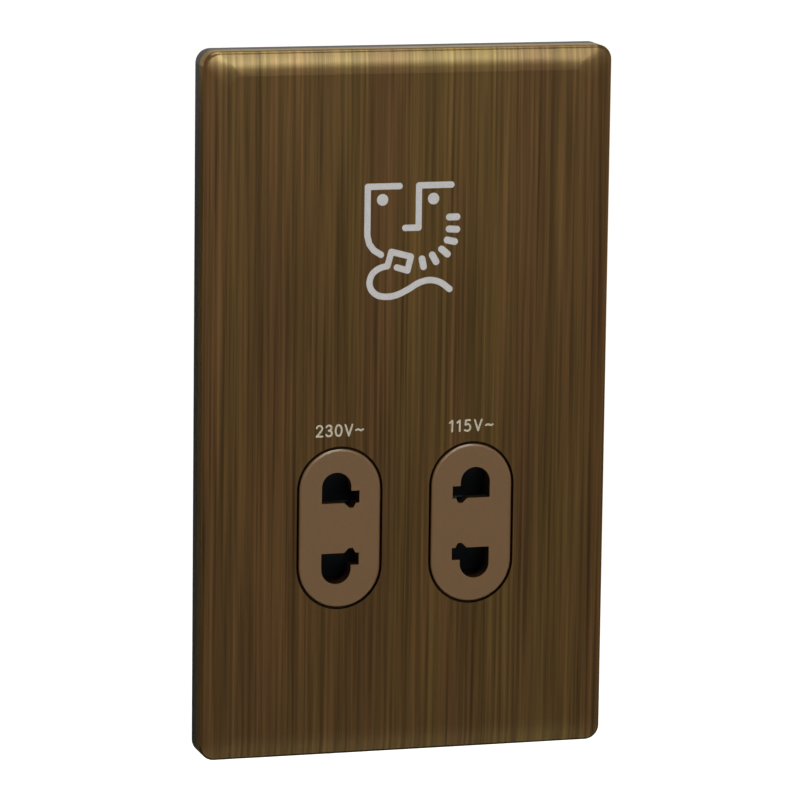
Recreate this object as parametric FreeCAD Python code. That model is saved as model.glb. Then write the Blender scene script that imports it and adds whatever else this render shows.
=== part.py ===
import FreeCAD, Part
import math
import os

# A dual-voltage shaver socket for a two-gang wall box.
# x runs to the right, z up and y into the wall, all in millimetres.
# The origin is the middle of the plate, on the wall plane.

# Face plate
plate_width = 86.0
plate_height = 146.0
corner_radius = 3.0
face_height = 8.0
plate_gauge = 1.0
border_width = 5.0
border_drop = 0.7
edge_radius = 0.8
border_steps = 6
overcut = 1.0
touching = 0.001

# Frame on the wall that the plate snaps on
ring_height = 3.6
frame_web = 2.4
snap_gap = 0.15
spigot_wall = 1.6
spigot_gap = 1.0
inside_corner = 1.0
fixing_spacing = 120.6
fixing_hole = 4.2
pad_diameter = 10.0
pad_height = 1.0
lug_length = 8.0
lug_thickness = 1.2
lug_catch = 0.35
side_lug_spacing = 45.0
end_lug_spacing = 44.0

# Front moulding with the two oval outlets
outlet_spacing = 28.1
outlet_z = -25.3
oval_width = 17.2
oval_height = 33.0
oval_gap = 0.5
oval_proud = 0.3
oval_edge = 0.5
lid_gap = 0.3
lid_thickness = 1.5
flange_lap = 3.05
tray_corner = 4.0
tray_wall = 1.6
flange_thickness = 1.6
mouth_fit = 0.05
mouth_wall = 1.5
mouth_depth = 2.0
mouth_gap = 0.2

# Pin entry: a round-ended hole with a notch towards the middle of the plate
entry_shift = 0.75
entry_width = 6.25
entry_inner = 5.2
entry_outer = 11.65
notch_reach = 4.85
notch_top = 7.75
tip_inner = 4.2
tip_near = 1.7
tip_far = 4.1
tip_slope = 1.0

# Shutter, its channel and its spring
slip = 0.15
flap_lap = 0.3
flap_width = 9.2
flap_back = 2.2
flap_toe = 0.8
rail_width = 1.1
rail_depth = 5.2
guide_wall = 1.3
stop_wall = 1.5
peg_diameter = 2.4
peg_length = 3.0
spring_left = 8.1
spring_diameter = 4.4
spring_wire = 0.4
spring_turns = 8
spring_seat_gap = 0.05
spring_inset = 4.0

# Switch of the primary circuit and the cams that press it
switch_side_gap = 2.55
switch_depth = 7.0
switch_height = 10.0
switch_above_outlet = 24.0
switch_pin_diameter = 2.0
switch_pin_spacing = 7.0
switch_tag_x = 3.0
switch_tag_z = 1.65
switch_tag_length = 4.0
plunger_width = 2.0
plunger_level = -1.5
plunger_fit = 0.05
plunger_grip = 2.2
plunger_room = 1.4
cam_ratio = 0.12
cam_gap = 0.1
cam_depth = 3.0
cam_overrun = 1.5

# Contacts and their carrier
contact_gauge = 0.5
contact_width = 7.4
contact_length = 7.6
contact_throat = 4.0
contact_mouth = 6.0
contact_centre = 8.45
contact_front = 3.2
contact_flare = 1.3
contact_tail = 3.0
pocket_clearance = 0.4
pocket_wall = 1.0
carrier_edge = 2.0
carrier_up = 17.05
carrier_down = 15.75
carrier_level = 9.0
carrier_base = 1.6
tail_length = 5.0
tail_slot_gap = 0.2
bus_height = 4.0
carrier_post_offset = 10.75
carrier_post_diameter = 5.2

# Rear housing
housing_wall = 2.0
housing_side_room = 3.0
housing_low_room = 9.6
housing_corner = 2.5
housing_depth = 38.0
step_depth = 24.0

# Screws: a slotted or crossed pan head on a plain shank
screw_fit = 0.02
hole_clearance = 0.15
head_clearance = 0.6
hole_spare = 1.0
case_screw_inset_x = 1.95
case_screw_inset_z = 2.95
case_screw_diameter = 3.0
case_screw_head = 5.4
case_screw_head_height = 2.0
case_screw_length = 20.0
case_screw_sink = 0.4
case_boss_diameter = 5.6
case_boss_gap = 0.2
small_screw_diameter = 2.5
small_screw_head = 4.4
small_screw_head_height = 1.6
small_screw_length = 7.0
carrier_screw_length = 6.0
driver_slot = 0.7

# Transformer: scrapless laminations, so six outer legs are as wide as the core
core_front = 10.0
core_rear_room = 3.0
core_top_gap = 2.1
core_low_gap = 7.0
bobbin_gap = 0.2
bobbin_wall = 1.0
bobbin_reach = 7.0
flange_gap = 0.4
winding_margin = 0.6
winding_gap = 0.1
winding_corner = 3.0
ledge_height = 3.0
ledge_depth = 2.5
pin_diameter = 1.0
pin_reach = 3.5
pin_grip = 2.0
primary_pin_left = -5.0
primary_pin_right = 12.0
secondary_pin_spacing = 12.0
clamp_gauge = 0.8
clamp_gap = 0.1
ear_height = 8.0
ear_reach = 4.6
ear_gap = 0.5
ear_screw_offset = 2.3
post_diameter = 4.6
support_rib = 3.0
side_rib_gap = 0.15
side_rib_start = 4.0
side_rib_spacing = 26.6

# Thermal cut-out resting on the primary winding
cutout_width = 16.0
cutout_height = 6.0
cutout_depth = 3.2
cutout_gap = 0.1
cutout_tag_pitch = 3.0
cutout_tag_length = 2.0
cutout_tag_width = 1.0
cutout_tag_gauge = 0.5
cutout_edge = 0.6

# Supply terminals behind the lower half
terminal_pitch = 12.0
terminal_rise = 8.5
terminal_width = 7.0
terminal_depth = 9.0
terminal_height = 10.0
terminal_bore = 4.0
terminal_clearance = 0.1
terminal_screw = 3.5
terminal_screw_head = 5.0
terminal_screw_head_height = 1.6
terminal_screw_reach = 2.4
block_wall = 1.5
block_side_wall = 0.65
tab_width = 4.0
tab_gauge = 0.8
tab_reach = 4.0
tab_slot_gap = 0.3
block_screw_gap = 0.55
block_screw_edge = 3.0
block_boss_length = 5.0

# Earth strap from the terminal to the inside of the face plate
strap_width = 5.0
strap_gauge = 0.4
strap_foot = 3.6
strap_lap = 3.5
strap_slot_gap = 0.3
strap_recess = 0.5

# Insulated leads
lead_diameter = 1.6
bend_share = 0.45

# Levels in y that several pieces share, and what follows from the sizes above
face_y = -face_height
spigot_height = face_height - plate_gauge - ring_height - spigot_gap
lug_level = ring_height + spigot_height / 2
lining_y = face_y + plate_gauge
lid_y = lining_y + lid_gap
lid_back = lid_y + lid_thickness
flap_front = lid_back + slip
flap_height = entry_outer - tip_inner + 2 * flap_lap
flap_low = tip_inner - flap_lap
shutter_top = flap_low + flap_height
shutter_stroke = entry_outer - flap_low + slip
spring_room = shutter_stroke + spring_left
spring_level = flap_back - spring_inset
channel_back = flap_back + slip
rail_x = outlet_spacing / 2 - flap_width / 2 - rail_width
switch_width = 2 * (rail_x - switch_side_gap)
switch_z = outlet_z + switch_above_outlet
post_x = outlet_spacing / 2 + carrier_post_offset
carrier_width = 2 * (post_x + carrier_edge)
carrier_top = outlet_z + carrier_up
carrier_bottom = outlet_z - carrier_down
carrier_back = carrier_level + carrier_base
housing_width = carrier_width + 2 * (housing_side_room + housing_wall)
housing_height = 2 * (housing_low_room - carrier_bottom)
mouth_width = housing_width - 2 * (housing_wall + mouth_fit)
mouth_height = housing_height - 2 * (housing_wall + mouth_fit)
tray_width = mouth_width + 2 * flange_lap
tray_height = mouth_height + 2 * flange_lap
case_screw_x = mouth_width / 2 - case_screw_inset_x
case_screw_z = mouth_height / 2 - case_screw_inset_z
clamp_reach = clamp_gap + clamp_gauge + ear_reach + ear_gap
lamination_leg = (housing_width / 2 - housing_wall - clamp_reach) / 3
rear_y = housing_depth - housing_wall
core_back = rear_y - core_rear_room - bobbin_reach
core_stack = core_back - core_front
core_width = 6 * lamination_leg
core_height = 5 * lamination_leg
window_height = 3 * lamination_leg
clamp_top = housing_height / 2 - housing_wall - core_top_gap
core_z = clamp_top - clamp_gauge - clamp_gap - core_height / 2
step_z = core_z - core_height / 2 - core_low_gap - housing_wall
step_y = step_depth - housing_wall
block_y = step_depth
terminal_y = block_y + block_wall + terminal_depth / 2
terminal_z = terminal_rise - housing_height / 2
block_body_width = 2 * (terminal_pitch + terminal_clearance + block_side_wall) + terminal_width
block_screw_x = (block_body_width + small_screw_head) / 2 + block_screw_gap
block_width = 2 * (block_screw_x + block_screw_edge)

# Ends of the tags and pins that the leads run to
tab_end = step_y - tab_reach
tail_end = carrier_back + tail_length
switch_end = lid_back + switch_depth + switch_tag_length
pin_end = core_front - bobbin_reach - pin_reach


def vec(x, y, z):
    return FreeCAD.Vector(x, y, z)


def block(x0, x1, y0, y1, z0, z1):
    # box between two x, two y and two z values, given low first
    return Part.makeBox(x1 - x0, y1 - y0, z1 - z0, vec(x0, y0, z0))


def centred(x, z, width, height, y0, y1):
    # box around a point of the front view
    return block(x - width / 2, x + width / 2, y0, y1, z - height / 2, z + height / 2)


def rod(x, z, diameter, y0, y1):
    # cylinder that runs into the wall
    return Part.makeCylinder(diameter / 2, y1 - y0, vec(x, y0, z), vec(0, 1, 0))


def joined(shapes):
    first = shapes[0]
    whole = first.fuse(shapes[1:])
    return whole.removeSplitter()


def group(shapes):
    return Part.makeCompound(shapes)


def rounded_outline(width, height, radius, y, z=0.0):
    # rounded rectangle in the front view, drawn at depth y around height z
    centre_x = width / 2 - radius
    centre_z = height / 2 - radius
    edges = []
    for quarter in range(4):
        sx = 1 if quarter in (0, 3) else -1
        sz = 1 if quarter in (0, 1) else -1
        turn = math.radians(90 * quarter)
        arc = []
        for angle in (turn, turn + math.pi / 4, turn + math.pi / 2):
            px = sx * centre_x + radius * math.cos(angle)
            pz = z + sz * centre_z + radius * math.sin(angle)
            arc.append(vec(px, y, pz))
        if edges:
            edges.append(Part.makeLine(edges[-1].Vertexes[-1].Point, arc[0]))
        edges.append(Part.Arc(arc[0], arc[1], arc[2]).toShape())
        last = arc[2]
    edges.append(Part.makeLine(last, edges[0].Vertexes[0].Point))
    return Part.Wire(edges)


def rounded_slab(width, height, radius, y0, y1, z=0.0):
    outline = rounded_outline(width, height, radius, y0, z)
    return Part.Face(outline).extrude(vec(0, y1 - y0, 0))


def stadium(x, z, width, height, y0, y1):
    # upright oval with straight sides and round ends
    radius = width / 2
    straight = height / 2 - radius
    right_top = vec(x + radius, y0, z + straight)
    right_low = vec(x + radius, y0, z - straight)
    left_top = vec(x - radius, y0, z + straight)
    left_low = vec(x - radius, y0, z - straight)
    crown = Part.Arc(right_top, vec(x, y0, z + height / 2), left_top).toShape()
    foot = Part.Arc(left_low, vec(x, y0, z - height / 2), right_low).toShape()
    left = Part.makeLine(left_top, left_low)
    right = Part.makeLine(right_low, right_top)
    return Part.Face(Part.Wire([crown, left, foot, right])).extrude(vec(0, y1 - y0, 0))


def thickened(points, gauge):
    # closed outline of a bent strip: the bend line, and the same line moved left by the gauge
    moved = []
    count = len(points)
    for index in range(count):
        before = points[max(index - 1, 0)]
        here = points[index]
        after = points[min(index + 1, count - 1)]
        arrive = math.atan2(here[1] - before[1], here[0] - before[0])
        leave = math.atan2(after[1] - here[1], after[0] - here[0])
        if index == 0:
            arrive = leave
        if index == count - 1:
            leave = arrive
        half_turn = (leave - arrive) / 2
        half_turn = math.atan2(math.sin(half_turn), math.cos(half_turn))
        if abs(half_turn) > math.pi / 2:
            half_turn = half_turn - math.copysign(math.pi, half_turn)
        heading = arrive + half_turn + math.pi / 2
        reach = gauge / math.cos(half_turn)
        moved.append((here[0] + reach * math.cos(heading), here[1] + reach * math.sin(heading)))
    return points + moved[::-1]


def strip_along_z(points, gauge, z0, z1):
    # bent strip whose bend line is given as x, y pairs
    outline = [vec(x, y, z0) for x, y in thickened(points, gauge)]
    return Part.Face(Part.makePolygon(outline + outline[:1])).extrude(vec(0, 0, z1 - z0))


def strip_along_x(points, gauge, x0, x1):
    # bent strip whose bend line is given as y, z pairs
    outline = [vec(x0, y, z) for y, z in thickened(points, gauge)]
    return Part.Face(Part.makePolygon(outline + outline[:1])).extrude(vec(x1 - x0, 0, 0))


def span(side, near, far):
    # x range on one outlet, from distances outboard of its centre line
    ends = [side * (outlet_spacing / 2 + near), side * (outlet_spacing / 2 + far)]
    return min(ends), max(ends)


def on_outlet(side, outboard):
    return side * (outlet_spacing / 2 + outboard)


# Face plate

def crown_outlines(skin, widest):
    # outlines of the arched border, from its outer edge in to the flat face
    crown = (border_width ** 2 + border_drop ** 2) / (2 * border_drop)
    outlines = []
    for step in range(border_steps + 1):
        angle = widest * (1 - step / border_steps)
        inset = border_width - (crown - skin) * math.sin(angle)
        y = face_y + crown - (crown - skin) * math.cos(angle)
        outlines.append(rounded_outline(plate_width - 2 * inset, plate_height - 2 * inset,
                                        corner_radius - skin, y))
    return outlines


def edge_outlines(centre_depth, narrowest):
    # outlines of the small round between the side wall and the arched border
    outlines = []
    for step in range(border_steps + 1):
        angle = math.pi / 2 + (narrowest - math.pi / 2) * step / border_steps
        inset = edge_radius * (1 - math.sin(angle))
        y = face_y + centre_depth - edge_radius * math.cos(angle)
        outlines.append(rounded_outline(plate_width - 2 * inset, plate_height - 2 * inset,
                                        corner_radius, y))
    return outlines


def plate_outside():
    crown = (border_width ** 2 + border_drop ** 2) / (2 * border_drop)
    reach = border_width - edge_radius
    meeting = math.asin(reach / (crown - edge_radius))
    centre_depth = crown - (crown - edge_radius) * math.cos(meeting)
    wall = rounded_slab(plate_width, plate_height, corner_radius, face_y + centre_depth, -ring_height)
    edge = Part.makeLoft(edge_outlines(centre_depth, meeting), True, False)
    border = Part.makeLoft(crown_outlines(0, meeting), True, False)
    return joined([wall, edge, border])


def plate_inside():
    crown = (border_width ** 2 + border_drop ** 2) / (2 * border_drop)
    meeting = math.asin((border_width - plate_gauge) / (crown - plate_gauge))
    start = face_y + crown - (crown - plate_gauge) * math.cos(meeting)
    wall = rounded_slab(plate_width - 2 * plate_gauge, plate_height - 2 * plate_gauge,
                        corner_radius - plate_gauge, start, -ring_height)
    border = Part.makeLoft(crown_outlines(plate_gauge, meeting), True, False)
    return joined([wall, border])


def snap_lugs(catch, length, thickness):
    # bars along the inside of the plate's walls, reaching past them by the catch
    low = -lug_level - thickness / 2
    high = -lug_level + thickness / 2
    bars = []
    for side in (-1, 1):
        wall_x = side * (plate_width / 2 - plate_gauge)
        wall_z = side * (plate_height / 2 - plate_gauge)
        root = snap_gap + spigot_wall / 2
        x_ends = sorted([wall_x + side * catch, wall_x - side * root])
        z_ends = sorted([wall_z + side * catch, wall_z - side * root])
        for row in (-1, 0, 1):
            z = row * side_lug_spacing
            bars.append(block(x_ends[0], x_ends[1], low, high, z - length / 2, z + length / 2))
        for column in (-0.5, 0.5):
            x = column * end_lug_spacing
            bars.append(block(x - length / 2, x + length / 2, low, high, z_ends[0], z_ends[1]))
    return bars


def cover_plate():
    plate = plate_outside().cut(plate_inside())
    for side in (-1, 1):
        opening = stadium(on_outlet(side, 0), outlet_z, oval_width + 2 * oval_gap,
                          oval_height + 2 * oval_gap, face_y - overcut, lining_y + overcut)
        plate = plate.cut(opening)
    return plate.cut(snap_lugs(lug_catch + snap_gap, lug_length + 2 * snap_gap,
                               lug_thickness + 2 * snap_gap))


# Frame

def support_frame():
    inset = plate_gauge + snap_gap
    spigot_top = -ring_height - spigot_height
    inner = inset + spigot_wall
    ring = rounded_slab(plate_width, plate_height, corner_radius, -ring_height, 0)
    spigot = rounded_slab(plate_width - 2 * inset, plate_height - 2 * inset,
                          corner_radius - inset, spigot_top, -ring_height)
    hollow = rounded_slab(plate_width - 2 * inner, plate_height - 2 * inner,
                          inside_corner, spigot_top, -frame_web)
    window = rounded_slab(mouth_width + 2 * mouth_gap, mouth_height + 2 * mouth_gap,
                          housing_corner, -frame_web, 0)
    frame = joined([ring, spigot]).cut([hollow, window])
    pads = [rod(0, end * fixing_spacing / 2, pad_diameter, -frame_web - pad_height, 0)
            for end in (-1, 1)]
    holes = [rod(0, end * fixing_spacing / 2, fixing_hole, -frame_web - pad_height, 0)
             for end in (-1, 1)]
    frame = joined([frame] + pads + snap_lugs(lug_catch, lug_length, lug_thickness))
    return frame.cut(holes)


# Front moulding

def entry_cut(side, up):
    # hole for one pin; u runs towards the middle of the plate and v away from the outlet's middle
    radius = entry_width / 2
    shoulder = entry_outer - radius

    def at(u, v):
        return vec(on_outlet(side, entry_shift - u), face_y - oval_proud - overcut, outlet_z + up * v)

    arc = Part.Arc(at(-radius, shoulder), at(0, entry_outer), at(radius, shoulder)).toShape()
    corners = [at(radius, shoulder), at(radius, notch_top), at(notch_reach, notch_top),
               at(notch_reach, entry_inner), at(tip_far, entry_inner),
               at(tip_far - tip_slope / 2, tip_inner), at(tip_near + tip_slope, tip_inner),
               at(tip_near, entry_inner), at(-radius, entry_inner), at(-radius, shoulder)]
    lines = [Part.makeLine(a, b) for a, b in zip(corners, corners[1:])]
    face = Part.Face(Part.Wire([arc] + lines))
    return face.extrude(vec(0, lid_back - face_y + oval_proud + 2 * overcut, 0))


def oval_boss(side):
    boss = stadium(on_outlet(side, 0), outlet_z, oval_width, oval_height,
                   face_y - oval_proud, lid_back)
    front = [edge for edge in boss.Edges
             if abs(edge.BoundBox.YMax - (face_y - oval_proud)) < touching]
    return boss.makeFillet(oval_edge, front)


def shutter_channel(side):
    # two guide walls, the rest stop below and the spring stop above
    inner = flap_width / 2 + rail_width + slip
    outer = inner + guide_wall
    top = outlet_z + shutter_top
    bottom = outlet_z - shutter_top
    floor = bottom - slip
    stop_z = top + spring_room
    walls = []
    for near, far in ((inner, outer), (-outer, -inner)):
        x0, x1 = span(side, near, far)
        walls.append(block(x0, x1, lid_back, channel_back, floor - stop_wall, top - slip))
    x0, x1 = span(side, -outer, outer)
    walls.append(block(x0, x1, lid_back, channel_back, floor - stop_wall, floor))
    x0, x1 = span(side, -flap_width / 2 + slip, flap_width / 2 - slip)
    walls.append(block(x0, x1, lid_back, channel_back, stop_z, stop_z + stop_wall))
    peg = Part.makeCylinder(peg_diameter / 2, peg_length,
                            vec(on_outlet(side, 0), spring_level, stop_z - peg_length))
    return walls + [peg]


def case_screw_places():
    return [(sx * case_screw_x, sz * case_screw_z)
            for sx in (-1, 1) for sz in (-1, 1)]


def strap_slot():
    z = terminal_z - tab_gauge / 2 - strap_gauge
    width = strap_width + 2 * strap_slot_gap
    slot = block(-width / 2, width / 2, lid_y, lid_back,
                 z - strap_slot_gap, z + strap_gauge + strap_slot_gap)
    recess = block(-width / 2, width / 2, lid_y, lid_y + strap_recess,
                   z - strap_foot - strap_slot_gap, z + strap_slot_gap)
    return [slot, recess]


def socket_front():
    hollow_width = mouth_width - 2 * mouth_wall
    hollow_height = mouth_height - 2 * mouth_wall
    tray = rounded_slab(tray_width, tray_height, tray_corner, lid_y, -frame_web)
    mouth = rounded_slab(mouth_width, mouth_height, housing_corner, -frame_web, mouth_depth)
    shell = joined([tray, mouth])
    shell = shell.cut([
        rounded_slab(hollow_width, hollow_height, inside_corner, lid_back, mouth_depth),
        rounded_slab(tray_width - 2 * tray_wall, tray_height - 2 * tray_wall,
                     tray_corner - tray_wall, lid_back, -frame_web - flange_thickness)])
    adds = []
    bosses = []
    cups = []
    cuts = strap_slot()
    for side in (-1, 1):
        adds.append(oval_boss(side))
        adds += shutter_channel(side)
        cuts.append(entry_cut(side, 1))
        cuts.append(entry_cut(side, -1))
        adds.append(rod(side * post_x, outlet_z, carrier_post_diameter, lid_back, carrier_level))
        cuts.append(rod(side * post_x, outlet_z, small_screw_diameter + 2 * screw_fit,
                        carrier_back - carrier_screw_length - hole_spare, carrier_level))
        pin_z = switch_z + side * switch_pin_spacing / 2
        adds.append(rod(0, pin_z, switch_pin_diameter, lid_back, lid_back + switch_depth))
    sink = lid_y + case_screw_sink + case_screw_head_height
    for x, z in case_screw_places():
        bosses.append(rod(x, z, case_boss_diameter, lid_back, mouth_depth))
        cups.append(rod(x, z, case_screw_head + head_clearance + 2 * tray_wall,
                        lid_back, sink + tray_wall))
        cuts.append(rod(x, z, case_screw_head + head_clearance, lid_y, sink))
        cuts.append(rod(x, z, case_screw_diameter + 2 * hole_clearance, sink, mouth_depth))
    adds += [shape.common(rounded_slab(mouth_width, mouth_height, housing_corner, lid_y, mouth_depth))
             for shape in bosses]
    adds += [shape.common(rounded_slab(tray_width, tray_height, tray_corner, lid_y, -frame_web))
             for shape in cups]
    return joined([shell] + adds).cut(cuts)


# Shutters

def flap(side, low):
    # wedge whose front slopes back towards its lower edge
    x0, x1 = span(side, -flap_width / 2, flap_width / 2)
    high = low + flap_height
    corners = [vec(x0, flap_front, high), vec(x0, flap_back, high),
               vec(x0, flap_back, low), vec(x0, flap_back - flap_toe, low)]
    face = Part.Face(Part.makePolygon(corners + corners[:1]))
    return face.extrude(vec(x1 - x0, 0, 0))


def cam_finger(side):
    # finger above the inner rail, thicker towards its root so that it pushes the plunger in
    near = flap_width / 2
    slim = near + rail_width
    root = shutter_top + slip
    tip = switch_above_outlet + cam_overrun
    thick = slim + cam_ratio * (tip - root)
    corners = [(-near, shutter_top - rail_depth), (-near, tip), (-slim, tip), (-thick, root),
               (-slim, root), (-slim, shutter_top - rail_depth)]
    y0 = flap_back - rail_depth
    points = [vec(on_outlet(side, u), y0, outlet_z + v) for u, v in corners]
    return Part.Face(Part.makePolygon(points + points[:1])).extrude(vec(0, cam_depth, 0))


def shutter(side):
    rail_front = flap_back - rail_depth
    pieces = [flap(side, outlet_z + flap_low), flap(side, outlet_z - shutter_top)]
    near = flap_width / 2
    for start, end in ((near, near + rail_width), (-near - rail_width, -near)):
        x0, x1 = span(side, start, end)
        pieces.append(block(x0, x1, rail_front, flap_back,
                            outlet_z - shutter_top, outlet_z + shutter_top))
    pieces.append(cam_finger(side))
    pieces.append(Part.makeCylinder(peg_diameter / 2, peg_length,
                                    vec(on_outlet(side, 0), spring_level, outlet_z + shutter_top)))
    return joined(pieces)


def shutter_spring(side):
    radius = (spring_diameter - spring_wire) / 2
    low = outlet_z + shutter_top + spring_seat_gap + spring_wire / 2
    height = spring_room - 2 * spring_seat_gap - spring_wire
    helix = Part.makeHelix(height / spring_turns, height, radius)
    rise = height / spring_turns
    along = vec(0, 2 * math.pi * radius, rise)
    ring = Part.Wire(Part.makeCircle(spring_wire / 2, vec(radius, 0, 0), along))
    coil = Part.Wire(helix).makePipeShell([ring], True, True)
    coil.translate(vec(on_outlet(side, 0), spring_level, low))
    return coil


# Primary switch

def plunger_bar(side, inner, outer, width):
    ends = sorted([side * inner, side * outer])
    return block(ends[0], ends[1], plunger_level - width / 2, plunger_level + width / 2,
                 switch_z - width / 2, switch_z + width / 2)


def primary_switch():
    rear = lid_back + switch_depth
    body = centred(0, switch_z, switch_width, switch_height, lid_back, rear)
    bore = plunger_width + 2 * plunger_fit
    half = switch_width / 2
    cuts = []
    tags = []
    for side in (-1, 1):
        cuts.append(plunger_bar(side, half - plunger_grip - plunger_room, half, bore))
        cuts.append(rod(0, switch_z + side * switch_pin_spacing / 2,
                        switch_pin_diameter + 2 * screw_fit, lid_back, rear))
        tags.append(centred(side * switch_tag_x, switch_z - side * switch_tag_z,
                            contact_tail, contact_gauge, rear, switch_end))
    return joined([body] + tags).cut(cuts)


def switch_plunger(side):
    half = switch_width / 2
    cam_at_rest = rail_x - cam_ratio * (cam_overrun + plunger_width / 2)
    return plunger_bar(side, half - plunger_grip, cam_at_rest - cam_gap, plunger_width)


# Contacts

def contact_clip(x, z):
    # strip folded to a U that grips one pin from both sides
    base_y = carrier_level - contact_gauge
    outside = contact_width / 2
    throat = contact_throat / 2 + contact_gauge
    mouth = contact_mouth / 2 + contact_gauge
    bend = [(x + mouth, contact_front), (x + throat, contact_front + contact_flare),
            (x + outside, base_y - contact_flare), (x + outside, base_y),
            (x - outside, base_y), (x - outside, base_y - contact_flare),
            (x - throat, contact_front + contact_flare), (x - mouth, contact_front)]
    z0 = z - contact_length / 2
    return strip_along_z(bend[::-1], contact_gauge, z0, z0 + contact_length)


def clip_place(side, up):
    return on_outlet(side, entry_shift), outlet_z + up * contact_centre


def tail(x, z, end_y):
    return centred(x, z, contact_tail, contact_gauge, carrier_level - contact_gauge, end_y)


def live_contact(side):
    x, z = clip_place(side, 1)
    return joined([contact_clip(x, z), tail(x, z, tail_end)])


def common_contact():
    # one pressing: the lower clip of both outlets and the bar that joins them
    bar_back = carrier_back + contact_gauge
    pieces = []
    for side in (-1, 1):
        x, z = clip_place(side, -1)
        pieces.append(contact_clip(x, z))
        pieces.append(tail(x, z, bar_back))
    x, z = clip_place(1, -1)
    pieces.append(centred(0, z, 2 * x + contact_tail, bus_height, carrier_back, bar_back))
    pieces.append(centred(0, z, contact_tail, contact_gauge, carrier_back, tail_end))
    return joined(pieces)


def contact_carrier():
    height = carrier_top - carrier_bottom
    middle = (carrier_top + carrier_bottom) / 2
    base = centred(0, middle, carrier_width, height, carrier_level, carrier_back)
    room_x = contact_width + 2 * contact_gauge + 2 * pocket_clearance
    room_z = contact_length + 2 * pocket_clearance
    adds = []
    cuts = []
    for side in (-1, 1):
        for up in (-1, 1):
            x, z = clip_place(side, up)
            adds.append(centred(x, z, room_x + 2 * pocket_wall, room_z + 2 * pocket_wall,
                                channel_back + slip, carrier_level))
            cuts.append(centred(x, z, room_x, room_z, channel_back, carrier_level))
            cuts.append(centred(x, z, contact_tail + 2 * tail_slot_gap,
                                contact_gauge + 2 * tail_slot_gap, carrier_level, carrier_back))
        cuts.append(rod(side * post_x, outlet_z,
                        small_screw_diameter + 2 * hole_clearance, carrier_level, carrier_back))
    return joined([base] + adds).cut(cuts)


# Screws

def pan_screw(x, z, seat_y, into, diameter, head, head_height, length):
    # screw along y; into is +1 where the shank runs into the wall and -1 where it comes out
    def piece(size, a, b):
        return rod(x, z, size, min(a, b), max(a, b))

    top = seat_y - into * head_height
    slot_ends = sorted([top, top + into * head_height / 2])
    slot = centred(x, z, head, driver_slot, slot_ends[0], slot_ends[1])
    body = joined([piece(head, seat_y, top), piece(diameter, seat_y, seat_y + into * length)])
    return body.cut(slot)


def housing_screws():
    seat = lid_y + case_screw_sink + case_screw_head_height
    return group([pan_screw(x, z, seat, 1, case_screw_diameter, case_screw_head,
                            case_screw_head_height, case_screw_length)
                  for x, z in case_screw_places()])


def carrier_screws():
    return group([pan_screw(side * post_x, outlet_z, carrier_back, -1,
                            small_screw_diameter, small_screw_head, small_screw_head_height,
                            carrier_screw_length)
                  for side in (-1, 1)])


def ear_place(side):
    clamp_x = core_width / 2 + clamp_gap + clamp_gauge
    return side * (clamp_x + ear_screw_offset)


def clamp_screws():
    return group([pan_screw(ear_place(side), core_z, core_back - clamp_gauge, 1,
                            small_screw_diameter, small_screw_head, small_screw_head_height,
                            small_screw_length)
                  for side in (-1, 1)])


def block_screws():
    seat = block_y + block_wall
    return group([pan_screw(side * block_screw_x, terminal_z, seat, -1,
                            small_screw_diameter, small_screw_head, small_screw_head_height,
                            block_wall + housing_wall + block_boss_length - hole_spare)
                  for side in (-1, 1)])


# Rear housing

def housing_solid(inset, front_y):
    deep_top = housing_height / 2 - inset
    deep_low = step_z + inset
    shallow = rounded_slab(housing_width - 2 * inset, housing_height - 2 * inset,
                           housing_corner - inset / 2, front_y, step_depth - inset)
    deep = rounded_slab(housing_width - 2 * inset, deep_top - deep_low,
                        housing_corner - inset / 2, front_y, housing_depth - inset,
                        (deep_top + deep_low) / 2)
    return joined([shallow, deep])


def core_supports():
    # ribs behind the outer legs, ribs beside the core and posts under the clamp's ears
    ribs = []
    leg_x = core_width / 2 - lamination_leg / 2
    side_x = core_width / 2 + clamp_gap + clamp_gauge + side_rib_gap
    wall_x = housing_width / 2 - housing_wall
    for side in (-1, 1):
        ribs.append(centred(side * leg_x, core_z, support_rib, core_height - 2 * lamination_leg,
                            core_back, rear_y))
        ribs.append(rod(ear_place(side), core_z, post_diameter, core_back, rear_y))
        x_ends = sorted([side * side_x, side * wall_x])
        for row in (-1, 1):
            z = core_z + row * side_rib_spacing / 2
            ribs.append(block(x_ends[0], x_ends[1], core_front + side_rib_start, rear_y,
                              z - support_rib / 2, z + support_rib / 2))
    return ribs


def housing():
    shell = housing_solid(0, 0).cut(housing_solid(housing_wall, 0))
    inside = housing_solid(0, 0)
    adds = core_supports()
    cuts = []
    boss_top = mouth_depth + case_boss_gap
    seat = lid_y + case_screw_sink + case_screw_head_height
    hole = case_screw_diameter + 2 * screw_fit
    for x, z in case_screw_places():
        adds.append(rod(x, z, case_boss_diameter, boss_top, rear_y if z > 0 else step_y))
        cuts.append(rod(x, z, hole, boss_top, seat + case_screw_length + hole_spare))
    for side in (-1, 1):
        x = side * block_screw_x
        small = small_screw_diameter + 2 * screw_fit
        adds.append(rod(x, terminal_z, post_diameter, step_y - block_boss_length, step_y))
        cuts.append(rod(x, terminal_z, small, step_y - block_boss_length, step_depth))
        cuts.append(rod(ear_place(side), core_z, small, core_back,
                        core_back + small_screw_length + hole_spare))
    for place in (-1, 0, 1):
        cuts.append(centred(place * terminal_pitch, terminal_z, tab_width + 2 * tab_slot_gap,
                            tab_gauge + 2 * tab_slot_gap, step_y, step_depth))
    adds = [shape.common(inside) for shape in adds]
    return joined([shell] + adds).cut(cuts)


# Transformer

def transformer_core():
    stack = centred(0, core_z, core_width, core_height, core_front, core_back)
    windows = [centred(side * 1.5 * lamination_leg, core_z, lamination_leg, window_height,
                       core_front, core_back)
               for side in (-1, 1)]
    return stack.cut(windows)


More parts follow.
